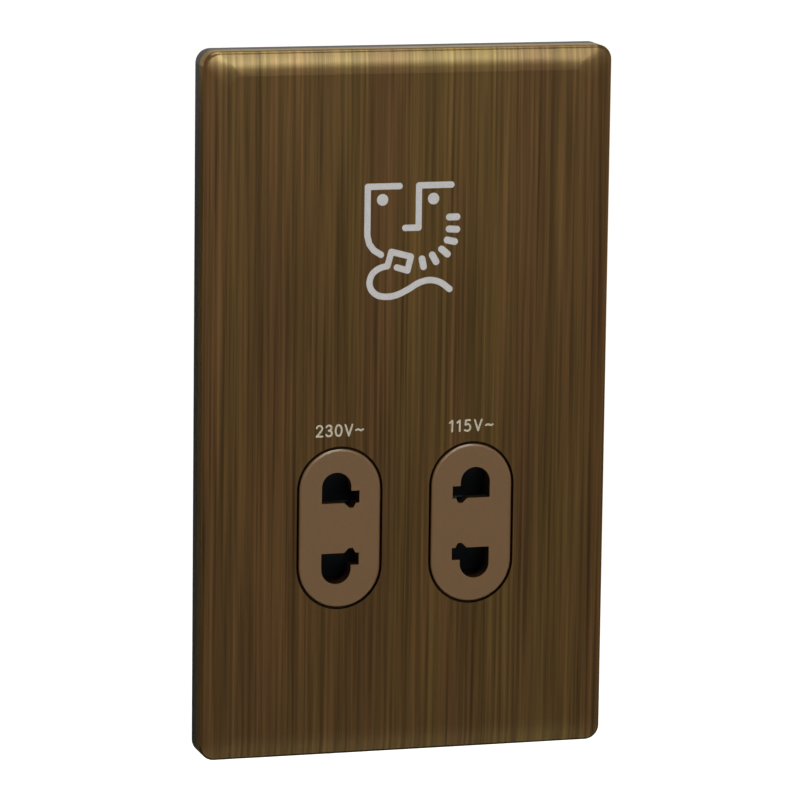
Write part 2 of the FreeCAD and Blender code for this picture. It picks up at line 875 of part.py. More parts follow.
def around_leg(margin, z0, z1, radius):
    # block around the middle leg, grown by the margin on all four sides
    width = 2 * lamination_leg + 2 * margin
    depth = core_stack + 2 * margin
    y0 = core_front - margin
    body = block(-width / 2, width / 2, y0, y0 + depth, z0, z1)
    if radius == 0:
        return body
    upright = [edge for edge in body.Edges if edge.BoundBox.ZLength > (z1 - z0) / 2]
    return body.makeFillet(radius, upright)


def bobbin():
    low = core_z - window_height / 2 + flange_gap / 2
    high = core_z + window_height / 2 - flange_gap / 2
    tube = bobbin_gap + bobbin_wall
    front = core_front - bobbin_reach
    width = 2 * lamination_leg + 2 * bobbin_reach
    pieces = [around_leg(tube, low, high, 0)]
    for z in (low, core_z - bobbin_wall / 2, high - bobbin_wall):
        pieces.append(around_leg(bobbin_reach, z, z + bobbin_wall, 0))
    pieces.append(block(-width / 2, width / 2, front, front + ledge_depth,
                        low + bobbin_wall - ledge_height, low + bobbin_wall))
    pieces.append(block(-width / 2, width / 2, front, front + ledge_depth,
                        high - bobbin_wall, high - bobbin_wall + ledge_height))
    body = joined(pieces).cut(around_leg(bobbin_gap, low, high, 0))
    holes = [rod(x, z, pin_diameter + 2 * screw_fit, front, front + pin_grip)
             for x, z in pin_places()]
    return body.cut(holes)


def pin_places():
    low = core_z - window_height / 2 + flange_gap / 2 + bobbin_wall - ledge_height / 2
    high = core_z + window_height / 2 - flange_gap / 2 - bobbin_wall + ledge_height / 2
    primary = [(primary_pin_left, low), (primary_pin_right, low)]
    secondary = [(place * secondary_pin_spacing, high) for place in (-1, 0, 1)]
    return primary + secondary


def bobbin_pins():
    front = core_front - bobbin_reach
    return group([rod(x, z, pin_diameter, front - pin_reach, front + pin_grip)
                  for x, z in pin_places()])


def winding(z0, z1):
    tube = bobbin_gap + bobbin_wall + winding_gap
    outside = around_leg(bobbin_reach - winding_margin, z0, z1, winding_corner)
    return outside.cut(around_leg(tube, z0, z1, 0))


def primary_winding():
    low = core_z - window_height / 2 + flange_gap / 2 + bobbin_wall + winding_gap
    return winding(low, core_z - bobbin_wall / 2 - winding_gap)


def secondary_winding():
    high = core_z + window_height / 2 - flange_gap / 2 - bobbin_wall - winding_gap
    return winding(core_z + bobbin_wall / 2 + winding_gap, high)


def core_clamp():
    # steel band over the top and both sides of the core, with an ear on each side
    half = core_width / 2 + clamp_gap
    outer = half + clamp_gauge
    top = core_z + core_height / 2 + clamp_gap
    low = core_z - core_height / 2
    pieces = [block(-outer, outer, core_front, core_back, top, top + clamp_gauge)]
    for side in (-1, 1):
        x_ends = sorted([side * half, side * outer])
        pieces.append(block(x_ends[0], x_ends[1], core_front, core_back, low, top))
        ear_ends = sorted([side * half, side * (outer + ear_reach)])
        pieces.append(block(ear_ends[0], ear_ends[1], core_back - clamp_gauge, core_back,
                            core_z - ear_height / 2, core_z + ear_height / 2))
    holes = [rod(ear_place(side), core_z, small_screw_diameter + 2 * hole_clearance,
                 core_back - clamp_gauge, core_back)
             for side in (-1, 1)]
    return joined(pieces).cut(holes)


def thermal_cutout():
    back = core_front - bobbin_reach + winding_margin - cutout_gap
    z = core_z - window_height / 4
    front = back - cutout_depth
    body = centred(0, z, cutout_width, cutout_height, front, back)
    edges = [edge for edge in body.Edges if edge.BoundBox.XLength > cutout_width / 2]
    pieces = [body.makeFillet(cutout_edge, edges)]
    middle = (front + back) / 2
    for row in (-0.5, 0.5):
        x = -cutout_width / 2 - cutout_tag_length / 2
        pieces.append(centred(x, z + row * cutout_tag_pitch, cutout_tag_length, cutout_tag_width,
                              middle - cutout_tag_gauge / 2, middle + cutout_tag_gauge / 2))
    return joined(pieces)


# Supply terminals

def terminal_block():
    height = terminal_height + block_wall + terminal_clearance
    low = terminal_z - terminal_height / 2
    depth = terminal_depth + 2 * block_wall + 2 * terminal_clearance
    body = block(-block_body_width / 2, block_body_width / 2, block_y, block_y + depth,
                 low, low + height)
    foot = block(-block_width / 2, block_width / 2, block_y, block_y + block_wall,
                 low, low + height)
    room = terminal_clearance
    cuts = []
    for place in (-1, 0, 1):
        x = place * terminal_pitch
        cuts.append(block(x - terminal_width / 2 - room, x + terminal_width / 2 + room,
                          block_y + block_wall - room,
                          block_y + block_wall + terminal_depth + room,
                          low, low + terminal_height + room))
        cuts.append(rod(x, terminal_z, terminal_screw_head + head_clearance,
                        block_y + block_wall + terminal_depth, block_y + depth))
        cuts.append(centred(x, terminal_z, tab_width + 2 * tab_slot_gap,
                            tab_gauge + 2 * tab_slot_gap, block_y, block_y + block_wall))
    for side in (-1, 1):
        cuts.append(rod(side * block_screw_x, terminal_z,
                        small_screw_diameter + 2 * hole_clearance, block_y, block_y + block_wall))
    return joined([body, foot]).cut(cuts)


def terminal(place):
    # brass block bored for the supply wire, with a tab through the housing
    x = place * terminal_pitch
    front = block_y + block_wall
    body = centred(x, terminal_z, terminal_width, terminal_height, front, front + terminal_depth)
    tab = centred(x, terminal_z, tab_width, tab_gauge, tab_end, front)
    bore = Part.makeCylinder(terminal_bore / 2, terminal_height,
                             vec(x, terminal_y, terminal_z - terminal_height / 2))
    tapped = rod(x, terminal_z, terminal_screw + 2 * screw_fit, terminal_y, front + terminal_depth)
    return joined([body, tab]).cut([bore, tapped])


def terminal_screws():
    seat = block_y + block_wall + terminal_depth
    return group([pan_screw(place * terminal_pitch, terminal_z, seat, -1, terminal_screw,
                            terminal_screw_head, terminal_screw_head_height, terminal_screw_reach)
                  for place in (-1, 0, 1)])


def earth_strap():
    z = terminal_z - tab_gauge / 2
    path = [(tab_end + strap_lap, z), (lining_y, z), (lining_y, z - strap_foot)]
    return strip_along_x(path, strap_gauge, -strap_width / 2, strap_width / 2)


# Insulated leads, each along a route chosen by hand

def lead(route):
    # straight runs joined by arcs as large as the shorter run beside each bend allows
    points = [vec(x, y, z) for x, y, z in route]
    edges = []
    start = points[0]
    for before, here, after in zip(points, points[1:], points[2:]):
        back = (before - here).normalize()
        ahead = (after - here).normalize()
        shorter = min((before - here).Length, (after - here).Length)
        trim = bend_share * shorter
        enter = here + back * trim
        leave = here + ahead * trim
        half_angle = back.getAngle(ahead) / 2
        radius = trim * math.tan(half_angle)
        middle = (back + ahead).normalize()
        bulge = here + middle * (radius / math.sin(half_angle) - radius)
        edges.append(Part.makeLine(start, enter))
        edges.append(Part.Arc(enter, bulge, leave).toShape())
        print("  bend radius", round(radius, 1))
        start = leave
    edges.append(Part.makeLine(start, points[-1]))
    path = Part.Wire(edges)
    ring = Part.Wire(Part.makeCircle(lead_diameter / 2, points[0], points[1] - points[0]))
    tube = path.makePipeShell([ring], True, False)
    print("  volume over section times length",
          round(tube.Volume / (path.Length * math.pi * lead_diameter ** 2 / 4), 4))
    return tube


leads = {
    "live_lead": [(-terminal_pitch, tab_end, terminal_z), (-terminal_pitch, tab_end - 3.5, terminal_z),
                  (-11, 13.8, -36), (-6, 14.5, -24), (0, 14, -12), (3, 10, -5),
                  (switch_tag_x, switch_end + 2.5, switch_z - switch_tag_z),
                  (switch_tag_x, switch_end, switch_z - switch_tag_z)],
    "switched_lead": [(-switch_tag_x, switch_end, switch_z + switch_tag_z),
                      (-switch_tag_x, switch_end + 3.5, switch_z + switch_tag_z),
                      (-5.2, 8.9, 3.2), (-9.5, 4.8, 7.5), (-13.2, 1.2, 11.5), (-17.2, 0.4, 16),
                      (-16.9, 1.5, 20), (-13.8, 1.9, 21.5), (-10, 1.9, 21.5)],
    "cutout_lead": [(-10, 1.9, 18.5), (-13.4, 1.9, 18.5), (-14.6, -0.6, 16.4), (-11.5, -3.4, 14.2),
                    (primary_pin_left, pin_end - 3.6, 13.7), (primary_pin_left, pin_end, 13.7)],
    "neutral_lead": [(terminal_pitch, tab_end, terminal_z), (terminal_pitch, tab_end - 3.5, terminal_z),
                     (11, 13.8, -36), (9.5, 14.5, -24), (11, 13.5, -9.5), (17.5, 8, 0.5),
                     (17, 1.5, 7.5), (15.6, -3.6, 10.6), (primary_pin_right, pin_end - 3.6, 13.7),
                     (primary_pin_right, pin_end, 13.7)],
    "lead_230v": [(-15, tail_end, -17.2), (-15, tail_end + 3.6, -17.2), (-19, 19, -11), (-23.5, 11, -1),
                  (-24.5, 3, 8), (-22, -1.4, 19), (-18.5, -3.4, 29.5), (-14.6, -4.2, 34.8),
                  (-secondary_pin_spacing, pin_end - 3.6, 38.3), (-secondary_pin_spacing, pin_end, 38.3)],
    "lead_115v": [(15, tail_end, -17.2), (15, tail_end + 3.6, -17.2), (19, 19, -11), (23.5, 11, -1),
                  (24.5, 3, 8), (22, -1.4, 19), (18.5, -3.4, 29.5), (14.6, -4.2, 34.8),
                  (secondary_pin_spacing, pin_end - 3.6, 38.3), (secondary_pin_spacing, pin_end, 38.3)],
    "common_lead": [(0, tail_end, -34.1), (0, tail_end + 3.6, -34.1), (4, 19.2, -28), (5.5, 18, -15),
                    (7, 11, -2.5), (6, 5, 7), (4.5, -0.6, 15), (2.5, -3.6, 25), (1, -4.2, 33),
                    (0, pin_end - 3.6, 38.3), (0, pin_end, 38.3)],
}

nodes = {
    "cover_plate": cover_plate(),
    "support_frame": support_frame(),
    "socket_front": socket_front(),
    "shutter_230v": shutter(-1),
    "shutter_115v": shutter(1),
    "shutter_spring_230v": shutter_spring(-1),
    "shutter_spring_115v": shutter_spring(1),
    "primary_switch": primary_switch(),
    "switch_plunger_230v": switch_plunger(-1),
    "switch_plunger_115v": switch_plunger(1),
    "contact_carrier": contact_carrier(),
    "contact_230v": live_contact(-1),
    "contact_115v": live_contact(1),
    "common_contact": common_contact(),
    "carrier_screws": carrier_screws(),
    "housing": housing(),
    "housing_screws": housing_screws(),
    "transformer_core": transformer_core(),
    "bobbin": bobbin(),
    "bobbin_pins": bobbin_pins(),
    "primary_winding": primary_winding(),
    "secondary_winding": secondary_winding(),
    "core_clamp": core_clamp(),
    "clamp_screws": clamp_screws(),
    "thermal_cutout": thermal_cutout(),
    "terminal_block": terminal_block(),
    "neutral_terminal": terminal(1),
    "earth_terminal": terminal(0),
    "live_terminal": terminal(-1),
    "terminal_screws": terminal_screws(),
    "block_screws": block_screws(),
    "earth_strap": earth_strap(),
}
for name, route in leads.items():
    print(name)
    nodes[name] = lead(route)

os.makedirs("parts", exist_ok=True)
for name, shape in nodes.items():
    shape.exportStep("parts/" + name + ".step")
    print(name, len(shape.Solids), "solid", shape.isValid(), round(shape.Volume / 1000, 3), "cm3")
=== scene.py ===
import bpy
import bmesh
import math
from mathutils import Matrix, Vector


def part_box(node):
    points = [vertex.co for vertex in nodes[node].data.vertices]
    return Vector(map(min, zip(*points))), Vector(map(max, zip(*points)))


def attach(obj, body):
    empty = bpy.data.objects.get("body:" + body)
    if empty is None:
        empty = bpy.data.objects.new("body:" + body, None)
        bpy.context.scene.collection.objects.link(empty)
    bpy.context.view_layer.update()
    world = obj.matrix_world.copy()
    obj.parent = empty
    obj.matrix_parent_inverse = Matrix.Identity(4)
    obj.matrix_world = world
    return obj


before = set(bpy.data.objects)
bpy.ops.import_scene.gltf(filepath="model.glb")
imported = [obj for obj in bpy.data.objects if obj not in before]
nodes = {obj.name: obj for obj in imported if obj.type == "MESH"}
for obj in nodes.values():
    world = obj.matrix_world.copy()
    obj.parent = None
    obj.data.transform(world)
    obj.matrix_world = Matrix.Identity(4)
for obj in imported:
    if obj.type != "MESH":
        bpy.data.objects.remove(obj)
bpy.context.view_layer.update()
mm = 0.001
white = (1, 1, 1, 1)
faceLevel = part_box("cover_plate")[0].y  # front face of the plate, towards the viewer
print("frame loaded,", len(nodes), "nodes")


def colour(red, green, blue):
    # screen values from 0 to 255, as linear light
    linear = []
    for value in (red, green, blue):
        share = value / 255
        linear.append(share / 12.92 if share <= 0.04045 else ((share + 0.055) / 1.055) ** 2.4)
    return (linear[0], linear[1], linear[2], 1.0)


def scaled(shade, factor):
    return tuple(min(channel * factor, 1.0) for channel in shade[:3]) + (1.0,)


def addObject(name, data):
    item = bpy.data.objects.new(name, data)
    bpy.context.scene.collection.objects.link(item)
    return item


# Nodes that the finishes share. A span runs from its first value to its second
noiseSpan = (0.3, 0.7)  # most of a noise texture lies between these
fullSpan = (0.0, 1.0)


def startFinish(name, roughness, metallic=0.0, specular=0.5):
    material = bpy.data.materials.new(name)
    material.use_nodes = True
    tree = material.node_tree
    shader = tree.nodes["Principled BSDF"]
    shader.inputs["Roughness"].default_value = roughness
    shader.inputs["Metallic"].default_value = metallic
    shader.inputs["Specular IOR Level"].default_value = specular
    return material, tree, shader


def coords(tree, output="Object"):
    return tree.nodes.new("ShaderNodeTexCoord").outputs[output]


def alongY(tree, output):
    # share of the coordinates or of the normal that lies along y, with minus y towards the viewer
    split = tree.nodes.new("ShaderNodeSeparateXYZ")
    tree.links.new(coords(tree, output), split.inputs[0])
    return split.outputs["Y"]


def noise(tree, steps, detail=2.0, roughness=0.5):
    # steps of the pattern in a metre: one number, or one each along x, y and z
    mapping = tree.nodes.new("ShaderNodeMapping")
    mapping.inputs["Scale"].default_value = steps if isinstance(steps, tuple) else (steps,) * 3
    tree.links.new(coords(tree), mapping.inputs["Vector"])
    texture = tree.nodes.new("ShaderNodeTexNoise")
    texture.inputs["Scale"].default_value = 1.0
    texture.inputs["Detail"].default_value = detail
    texture.inputs["Roughness"].default_value = roughness
    tree.links.new(mapping.outputs["Vector"], texture.inputs["Vector"])
    return texture.outputs["Fac"]


def bands(tree, look, axis, profile="SIN"):
    # at a scale of one the wave texture has a band every 2 pi / 20 of a metre
    wave = tree.nodes.new("ShaderNodeTexWave")
    wave.bands_direction = axis
    wave.wave_profile = profile
    wave.inputs["Scale"].default_value = 2 * math.pi / (20 * look["pitch"])
    wave.inputs["Distortion"].default_value = look["distortion"]
    wave.inputs["Detail"].default_value = look["detail"]
    tree.links.new(coords(tree), wave.inputs["Vector"])
    return wave.outputs["Fac"]


def remap(tree, value, span, newSpan):
    node = tree.nodes.new("ShaderNodeMapRange")
    node.inputs["From Min"].default_value, node.inputs["From Max"].default_value = span
    node.inputs["To Min"].default_value, node.inputs["To Max"].default_value = newSpan
    tree.links.new(value, node.inputs["Value"])
    return node.outputs["Result"]


def calculated(tree, operation, first, second):
    node = tree.nodes.new("ShaderNodeMath")
    node.operation = operation
    tree.links.new(first, node.inputs[0])
    tree.links.new(second, node.inputs[1])
    return node.outputs[0]


def mixed(tree, factor, first, second):
    # first and second are shades or the outputs of other nodes
    node = tree.nodes.new("ShaderNodeMix")
    node.data_type = "RGBA"
    tree.links.new(factor, node.inputs[0])
    for socket, value in ((node.inputs[6], first), (node.inputs[7], second)):  # its two colours
        if isinstance(value, tuple):
            socket.default_value = value
        else:
            tree.links.new(value, socket)
    return node.outputs[2]


def toned(tree, pattern, shade, tones, span=noiseSpan):
    # the shade times the first tone where the pattern is low, times the second where it is high
    even = remap(tree, pattern, span, fullSpan)
    return mixed(tree, even, scaled(shade, tones[0]), scaled(shade, tones[1]))


def setColour(tree, shader, source):
    tree.links.new(source, shader.inputs["Base Color"])


def roughen(tree, shader, pattern, span):
    tree.links.new(remap(tree, pattern, noiseSpan, span), shader.inputs["Roughness"])


def emboss(tree, shader, height, depth):
    node = tree.nodes.new("ShaderNodeBump")
    node.inputs["Distance"].default_value = depth
    tree.links.new(height, node.inputs["Height"])
    tree.links.new(node.outputs["Normal"], shader.inputs["Normal"])


# Brushed bronze of the plate, brushed from top to bottom
plate = {
    "reddish": colour(79, 56, 31),
    "olive": colour(75, 56, 28),
    "edgeTint": (0.85, 0.7, 0.46, 1.0),
    "streakSteps": (1120, 110, 14),
    "streakDetail": 3.0,
    "streakFineness": 0.6,
    "streakDepth": 0.006 * mm,
    "streakContrast": 0.64,
    "bandSteps": (170, 40, 5),
    "bandContrast": 0.14,
    "contrastSpan": (0.25, 0.75),
    "hueSteps": (190, 55, 6),
    "hueSpan": (0.38, 0.62),
    "roughness": 0.31,
    "anisotropy": 0.5,
    "lacquer": 0.1,
    "lacquerRoughness": 0.2,
}


def contrasted(tree, pattern, contrast):
    return remap(tree, pattern, plate["contrastSpan"], (1 - contrast, 1 + contrast))


def brushedBronze():
    material, tree, shader = startFinish("brushed bronze", plate["roughness"], 1.0)
    hue = remap(tree, noise(tree, plate["hueSteps"]), plate["hueSpan"], fullSpan)
    base = mixed(tree, hue, plate["reddish"], plate["olive"])
    streak = noise(tree, plate["streakSteps"], plate["streakDetail"], plate["streakFineness"])
    fine = contrasted(tree, streak, plate["streakContrast"])
    broad = contrasted(tree, noise(tree, plate["bandSteps"]), plate["bandContrast"])
    brushed = tree.nodes.new("ShaderNodeVectorMath")
    brushed.operation = "SCALE"
    tree.links.new(base, brushed.inputs["Vector"])
    tree.links.new(calculated(tree, "MULTIPLY", fine, broad), brushed.inputs["Scale"])
    setColour(tree, shader, brushed.outputs["Vector"])
    shader.inputs["Anisotropic"].default_value = plate["anisotropy"]
    shader.inputs["Specular Tint"].default_value = plate["edgeTint"]
    shader.inputs["Coat Weight"].default_value = plate["lacquer"]
    shader.inputs["Coat Roughness"].default_value = plate["lacquerRoughness"]
    emboss(tree, shader, streak, plate["streakDepth"])
    return material


# Front moulding: satin brown paint on its forward faces over dark plastic. The paint ends where a
# face turns away from the viewer, and just behind the face of the plate; the dark plastic colour
# there is also painted shade
insert = {
    "paint": colour(85, 56, 27),
    # dark plastic, also painted shade on the walls of the pin entries and of the gap round the
    # ovals
    "plasticAndShade": colour(34, 20, 10),
    "shine": 0.25,
    "plasticShine": 0.04,
    "fleckSteps": 5200,
    "fleckDepth": 0.004 * mm,
    "flake": 0.12,
    "roughness": 0.36,
    "metallic": 0.25,
    "lacquer": 0.4,
    "lacquerRoughness": 0.18,
    "facingSpan": (-0.1, -0.35),  # y of the normal, from the dark plastic and painted shade to the paint
    "levelSpan": (faceLevel + 0.6 * mm, faceLevel + 0.4 * mm),  # y of the place, the same way
}


def paintedMoulding():
    material, tree, shader = startFinish("painted moulding", insert["roughness"],
                                         insert["metallic"], insert["shine"])
    fleck = noise(tree, insert["fleckSteps"])
    paint = toned(tree, fleck, insert["paint"], (1 - insert["flake"], 1 + insert["flake"]))
    # paint on forward faces near the front; elsewhere the dark plastic colour, which is also
    # painted shade in the recesses
    forward = remap(tree, alongY(tree, "Normal"), insert["facingSpan"], fullSpan)
    proud = remap(tree, alongY(tree, "Object"), insert["levelSpan"], fullSpan)
    painted = calculated(tree, "MULTIPLY", forward, proud)
    setColour(tree, shader, mixed(tree, painted, insert["plasticAndShade"], paint))
    shine = remap(tree, painted, fullSpan, (insert["plasticShine"], insert["shine"]))
    tree.links.new(shine, shader.inputs["Specular IOR Level"])
    lacquer = remap(tree, painted, fullSpan, (0.0, insert["lacquer"]))
    tree.links.new(lacquer, shader.inputs["Coat Weight"])
    shader.inputs["Coat Roughness"].default_value = insert["lacquerRoughness"]
    emboss(tree, shader, fleck, insert["fleckDepth"])
    return material


# Plain mouldings, with the fine grain that a spark-eroded mould leaves
mouldings = {
    "frame moulding": {"shade": colour(22, 17, 14), "roughness": 0.45, "grain": 3200,
                       "depth": 0.006 * mm, "specular": 0.1},
    "shutter moulding": {"shade": colour(12, 12, 13), "roughness": 0.45, "grain": 4200,
                         "depth": 0.004 * mm},
    "housing moulding": {"shade": colour(38, 38, 39), "roughness": 0.5, "grain": 1800,
                         "depth": 0.02 * mm},
    "switch moulding": {"shade": colour(28, 28, 30), "roughness": 0.4, "grain": 4200,
                        "depth": 0.004 * mm},
    "plunger moulding": {"shade": colour(170, 30, 24), "roughness": 0.3, "grain": 5000,
                         "depth": 0.002 * mm},
    "carrier moulding": {"shade": colour(30, 29, 28), "roughness": 0.42, "grain": 3600,
                         "depth": 0.005 * mm},
    "terminal moulding": {"shade": colour(226, 224, 218), "roughness": 0.38, "grain": 3600,
                          "depth": 0.005 * mm},
    "bobbin nylon": {"shade": colour(226, 221, 200), "roughness": 0.33, "grain": 2600,
                     "depth": 0.005 * mm},
}
mouldingMarks = {"detail": 3.0, "cloudSteps": 90, "tones": (0.9, 1.1), "roughnessSpread": 0.06}


def moulding(name):
    look = mouldings[name]
    material, tree, shader = startFinish(name, look["roughness"],
                                         specular=look.get("specular", 0.5))
    cloud = noise(tree, mouldingMarks["cloudSteps"], mouldingMarks["detail"])
    setColour(tree, shader, toned(tree, cloud, look["shade"], mouldingMarks["tones"]))
    grain = noise(tree, look["grain"], mouldingMarks["detail"])
    spread = mouldingMarks["roughnessSpread"]
    roughen(tree, shader, grain, (look["roughness"] - spread, look["roughness"] + spread))
    emboss(tree, shader, grain, look["depth"])
    return material


# Bare and plated metals; steps say how fine the marks are along x, y and z
metals = {
    "spring wire": {"shade": colour(200, 201, 204), "roughness": 0.2, "steps": 900,
                    "spread": 0.1},
    "zinc plate": {"shade": colour(196, 197, 194), "roughness": 0.3, "steps": 1500,
                   "spread": 0.14},
    "contact bronze": {"shade": colour(205, 170, 105), "roughness": 0.36,
                       "steps": (1400, 1400, 200), "spread": 0.08},
    "turned brass": {"shade": colour(212, 180, 104), "roughness": 0.24,
                     "steps": (300, 3000, 300), "spread": 0.12},
    "tinned pin": {"shade": colour(208, 208, 204), "roughness": 0.28,
                   "steps": (2500, 400, 2500), "spread": 0.1},
    "clamp sheet": {"shade": colour(178, 180, 182), "roughness": 0.34,
                    "steps": (140, 140, 1900), "spread": 0.12},
    "drawn case": {"shade": colour(190, 191, 193), "roughness": 0.3,
                   "steps": (200, 2200, 2200), "spread": 0.1},
}
metalMarks = {"detail": 3.0, "fineness": 0.6, "smoother": 0.07, "rougher": 0.09,
              "depth": 0.004 * mm}


def metal(name):
    look = metals[name]
    material, tree, shader = startFinish(name, look["roughness"], 1.0)
    marks = noise(tree, look["steps"], metalMarks["detail"], metalMarks["fineness"])
    tones = (1 - look["spread"], 1 + look["spread"])
    setColour(tree, shader, toned(tree, marks, look["shade"], tones))
    roughen(tree, shader, marks, (look["roughness"] - metalMarks["smoother"],
                                  look["roughness"] + metalMarks["rougher"]))
    emboss(tree, shader, marks, metalMarks["depth"])
    return material


# Laminated core: edges of thin steel sheets stacked along y, with dark gaps between them
laminations = {
    "pitch": 0.5 * mm,
    "distortion": 0.4,
    "detail": 1.0,
    "sheet": colour(112, 113, 116),
    "gap": colour(36, 34, 33),
    "gapSpan": (0.04, 0.3),
    "roughness": 0.42,
    "metallic": 0.8,
    "varnishSteps": 160,
    "varnishDetail": 3.0,
    "varnishSpan": (0.35, 0.65),
    "varnishTones": (0.75, 1.0),
    "depth": 0.06 * mm,
}


def laminatedSteel():
    material, tree, shader = startFinish("laminated steel", laminations["roughness"],
                                         laminations["metallic"])
    edges = remap(tree, bands(tree, laminations, "Y"), laminations["gapSpan"], fullSpan)
    normal = alongY(tree, "Normal")
    flat = calculated(tree, "MULTIPLY", normal, normal)  # 1 on the first and the last sheet
    steel = calculated(tree, "MAXIMUM", flat, edges)
    varnish = noise(tree, laminations["varnishSteps"], laminations["varnishDetail"])
    sheet = toned(tree, varnish, laminations["sheet"], laminations["varnishTones"],
                  laminations["varnishSpan"])
    setColour(tree, shader, mixed(tree, steel, laminations["gap"], sheet))
    emboss(tree, shader, steel, laminations["depth"])
    return material


# Windings under overlapping turns of yellow tape
tape = {
    "shade": colour(214, 176, 62),
    "tones": (0.72, 1.0),
    "pitch": 2.4 * mm,
    "distortion": 0.8,
    "detail": 2.0,
    "roughness": 0.32,
    "depth": 0.05 * mm,
}


def woundTape():
    material, tree, shader = startFinish("winding tape", tape["roughness"])
    turn = bands(tree, tape, "Z", "SAW")
    setColour(tree, shader, toned(tree, turn, tape["shade"], tape["tones"], fullSpan))
    emboss(tree, shader, turn, tape["depth"])
    return material


# Lead insulation, soft and slightly matt
leadShades = {
    "brown insulation": colour(104, 62, 34),
    "blue insulation": colour(44, 88, 160),
    "red insulation": colour(176, 34, 28),
    "white insulation": colour(222, 222, 218),
    "black insulation": colour(26, 26, 27),
}
leadMarks = {"steps": 700, "detail": 3.0, "tones": (0.85, 1.1), "roughness": 0.4,
             "roughnessSpan": (0.32, 0.5), "depth": 0.006 * mm}


def insulation(name):
    material, tree, shader = startFinish(name, leadMarks["roughness"])
    scuff = noise(tree, leadMarks["steps"], leadMarks["detail"])
    setColour(tree, shader, toned(tree, scuff, leadShades[name], leadMarks["tones"]))
    roughen(tree, shader, scuff, leadMarks["roughnessSpan"])
    emboss(tree, shader, scuff, leadMarks["depth"])
    return material


# Pale ink of the sign and the voltage figures
ink = {
    "sign": colour(154, 142, 138),
    "figures": colour(146, 130, 110),
    "roughness": 0.6,
    "screenSteps": 3800,
    "tones": (0.9, 1.08),
    "depth": 0.003 * mm,
}


def printedInk(name, shade):
    material, tree, shader = startFinish(name, ink["roughness"])
    screen = noise(tree, ink["screenSteps"])
    setColour(tree, shader, toned(tree, screen, shade, ink["tones"]))
    emboss(tree, shader, screen, ink["depth"])
    return material


# Each finish and the parts that have it
finishes = [
    (brushedBronze(), ["cover_plate"]),
    (paintedMoulding(), ["socket_front"]),
    (moulding("frame moulding"), ["support_frame"]),
    (moulding("shutter moulding"), ["shutter_230v", "shutter_115v"]),
    (moulding("housing moulding"), ["housing"]),
    (moulding("switch moulding"), ["primary_switch"]),
    (moulding("plunger moulding"), ["switch_plunger_230v", "switch_plunger_115v"]),
    (moulding("carrier moulding"), ["contact_carrier"]),
    (moulding("terminal moulding"), ["terminal_block"]),
    (moulding("bobbin nylon"), ["bobbin"]),
    (metal("spring wire"), ["shutter_spring_230v", "shutter_spring_115v"]),
    (metal("zinc plate"), ["carrier_screws", "housing_screws", "clamp_screws",
                           "terminal_screws", "block_screws"]),
    (metal("contact bronze"), ["contact_230v", "contact_115v", "common_contact", "earth_strap"]),
    (metal("turned brass"), ["live_terminal", "earth_terminal", "neutral_terminal"]),
    (metal("tinned pin"), ["bobbin_pins"]),
    (metal("clamp sheet"), ["core_clamp"]),
    (metal("drawn case"), ["thermal_cutout"]),
    (laminatedSteel(), ["transformer_core"]),
    (woundTape(), ["primary_winding", "secondary_winding"]),
    (insulation("brown insulation"), ["live_lead", "switched_lead", "cutout_lead"]),
    (insulation("blue insulation"), ["neutral_lead"]),
    (insulation("red insulation"), ["lead_230v"]),
    (insulation("white insulation"), ["lead_115v"]),
    (insulation("black insulation"), ["common_lead"]),
]

dressed = 0
for finish, names in finishes:
    for name in names:
        for slot in nodes[name].material_slots:
            slot.material = finish
        dressed += 1
print("finishes on", dressed, "of", len(nodes), "nodes")


# Outlines of pen strokes, in millimetres across and up the face
pen = {"endFacets": 10, "dotFacets": 32, "curveSteps": 6, "roundedFrom": math.radians(20)}


def towards(angle):
    return Vector((math.cos(angle), math.sin(angle)))


def smoothed(points):
    # curve that passes through all the points
    ends = [points[0]] + points + [points[-1]]
    line = []
    for before, start, end, after in zip(ends, ends[1:], ends[2:], ends[3:]):
        for step in range(pen["curveSteps"]):
            t = step / pen["curveSteps"]
            place = []
            for a, b, c, d in zip(before, start, end, after):
                square = (2 * a - 5 * b + 4 * c - d) * t ** 2
                cube = (3 * b - a - 3 * c + d) * t ** 3
                place.append(0.5 * (2 * b + (c - a) * t + square + cube))
            line.append(tuple(place))
    return line + [points[-1]]


def arc(centre, radius, start, sweep, facets):
    # clockwise round the centre
    return [centre + radius * towards(start - sweep * step / facets)
            for step in range(facets + 1)]


def strokeOutline(points, width):
    # closed outline of a pen stroke: round at its ends and outside its bends
    half = width / 2
    path = [Vector(point) for point in points]
    outline = []
    for run in (path, path[::-1]):
        for index in range(1, len(run)):
            here = run[index]
            arrive = here - run[index - 1]
            start = math.atan2(arrive.y, arrive.x) + math.pi / 2
            if index == len(run) - 1:
                outline += arc(here, half, start, math.pi, pen["endFacets"])
                continue
            turn = arrive.angle_signed(run[index + 1] - here, 0.0)  # clockwise is positive
            if turn > pen["roundedFrom"]:
                facets = max(2, int(pen["endFacets"] * turn / math.pi))
                outline += arc(here, half, start, turn, facets)
            else:
                outline.append(here + half / math.cos(turn / 2) * towards(start - turn / 2))
    return outline


def dot(centre, radius):
    facets = pen["dotFacets"]
    return [(centre[0] + radius * math.cos(2 * math.pi * step / facets),
             centre[1] + radius * math.sin(2 * math.pi * step / facets))
            for step in range(facets)]


def dash(x, z, tilt, length, width):
    middle = Vector((x, z))
    reach = (length - width) / 2 * towards(math.radians(tilt))
    return strokeOutline([middle - reach, middle + reach], width)


layer = {"thickness": 0.03 * mm, "step": 0.004 * mm}


